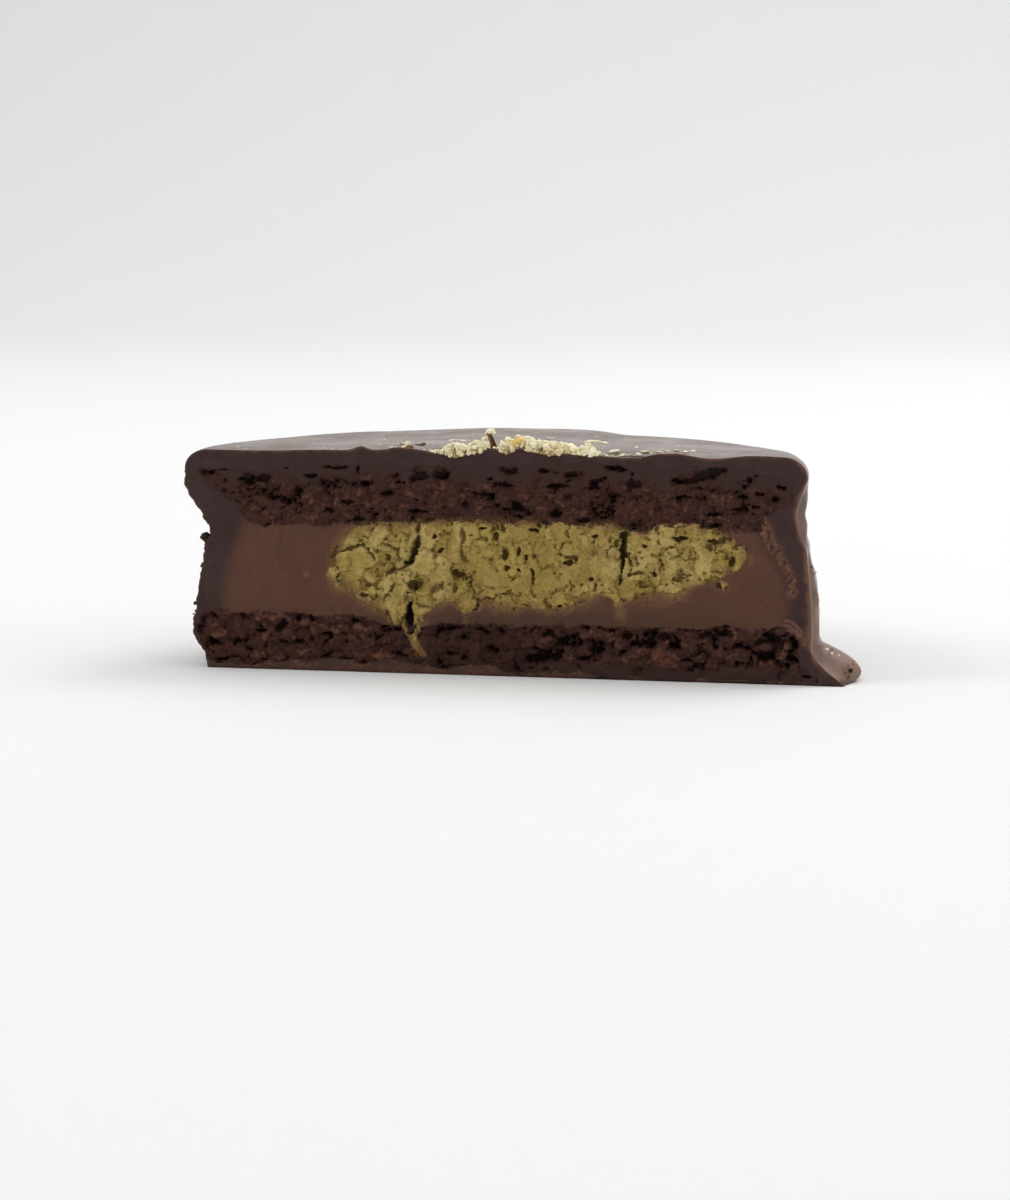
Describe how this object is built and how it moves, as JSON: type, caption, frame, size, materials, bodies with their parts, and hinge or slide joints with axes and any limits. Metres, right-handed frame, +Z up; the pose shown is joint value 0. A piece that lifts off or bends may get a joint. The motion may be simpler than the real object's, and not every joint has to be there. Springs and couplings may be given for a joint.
{
  "type": "halved alfajor cookie",
  "caption": "Half of a chocolate-coated sandwich cookie cut down the middle, showing its biscuits, cocoa filling, green nut core and crumbs on top.",
  "frame": {"origin": "on the flat base, under the middle of the whole half's box", "axes": "+X along the cut towards the end with the run-out foot, +Y from the cut face to the round back, +Z up through the layers"},
  "size_m": [0.0676, 0.0312, 0.0239],
  "materials": {
    "chocolate_coat": "dark milk chocolate, satin to glossy, smooth with soft undulations",
    "cocoa_biscuit": "dark cocoa biscuit, crumbly and porous where cut",
    "cocoa_filling": "smooth satin milk-cocoa cream",
    "pistachio_paste": "matte olive-yellow nut paste, cracked where cut",
    "nut_crumbs": "pale cream to golden chopped nuts"
  },
  "bodies": {
    "root": {"chocolate_coat": "chocolate_coat", "top_biscuit": "cocoa_biscuit", "cocoa_filling": "cocoa_filling", "pistachio_core": "pistachio_paste", "bottom_biscuit": "cocoa_biscuit", "nut_crumbs": "nut_crumbs"}
  },
  "joints": []
}
